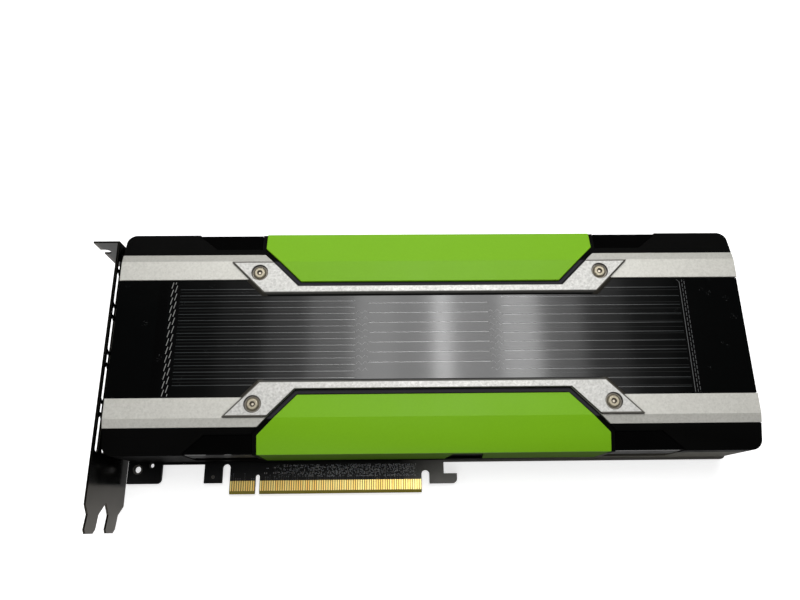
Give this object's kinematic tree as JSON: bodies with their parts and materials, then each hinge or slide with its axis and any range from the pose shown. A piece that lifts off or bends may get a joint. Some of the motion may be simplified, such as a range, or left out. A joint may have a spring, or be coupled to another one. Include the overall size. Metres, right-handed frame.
{
  "type": "passive accelerator card",
  "caption": "Fanless dual-slot accelerator card: black shroud with green inserts and silver rails, edge connector, open air inlet and a vented mounting bracket.",
  "frame": {"origin": "middle of the backplate's outer face, on which the card lies", "axes": "+X along the card from its bracket to its air inlet, +Y up the card's height away from the contact edge, +Z out of the cover"},
  "size_m": [0.2794, 0.1266, 0.0389],
  "materials": {
    "board_mask": "black solder mask, semi-gloss",
    "contact_gold": "gold flash over nickel",
    "ceramic": "fired ceramic with tinned ends",
    "plate_black": "black anodised, matt",
    "screw_black": "black oxide",
    "package_green": "laminate, semi-matt",
    "silicon": "polished",
    "bright_metal": "nickel plated",
    "chip_black": "moulded epoxy, matt",
    "pad_grey": "soft, matt",
    "choke_grey": "pressed powder, matt",
    "can_silver": "drawn aluminium",
    "cast_aluminium": "black anodised casting",
    "chamber_copper": "bare copper",
    "fin_aluminium": "bare sheet",
    "socket_black": "moulded, matt",
    "pin_tin": "tin plated",
    "shell_black": "fine texture, matt",
    "rail_silver": "satin silver",
    "insert_green": "satin green",
    "panel_gloss": "gloss black",
    "wing_silver": "satin silver",
    "screw_champagne": "plated, satin",
    "cover_gloss": "polished black with fine lines",
    "bracket_metal": "smooth plated steel"
  },
  "bodies": {
    "root": {"circuit_board": "board_mask", "edge_contacts_front": "contact_gold", "edge_contacts_back": "contact_gold", "coupling_capacitors": "ceramic", "backplate": "plate_black", "backplate_screws": "screw_black", "shroud_screws": "screw_black", "processor_package": "package_green", "processor_die": "silicon", "package_stiffener": "bright_metal", "memory_chips_front": "chip_black", "memory_chips_back": "chip_black", "thermal_pads_front": "pad_grey", "thermal_pads_back": "pad_grey", "power_chokes": "choke_grey", "power_stages": "chip_black", "bulk_capacitors": "can_silver", "base_plate": "cast_aluminium", "vapour_chamber": "chamber_copper", "fin_stack": "fin_aluminium", "power_inlet_housing": "socket_black", "power_inlet_pins": "pin_tin", "shroud_shell": "shell_black", "silver_rail_upper": "rail_silver", "silver_rail_lower": "rail_silver", "green_insert_upper": "insert_green", "green_insert_lower": "insert_green", "glossy_panel_upper_left": "panel_gloss", "glossy_panel_upper_right": "panel_gloss", "glossy_panel_lower_left": "panel_gloss", "glossy_panel_lower_right": "panel_gloss", "wing_plate_upper": "wing_silver", "wing_plate_lower": "wing_silver", "wing_screws": "screw_champagne", "cover_panel": "cover_gloss", "mounting_bracket": "bracket_metal", "bracket_screws": "bright_metal"}
  },
  "joints": []
}
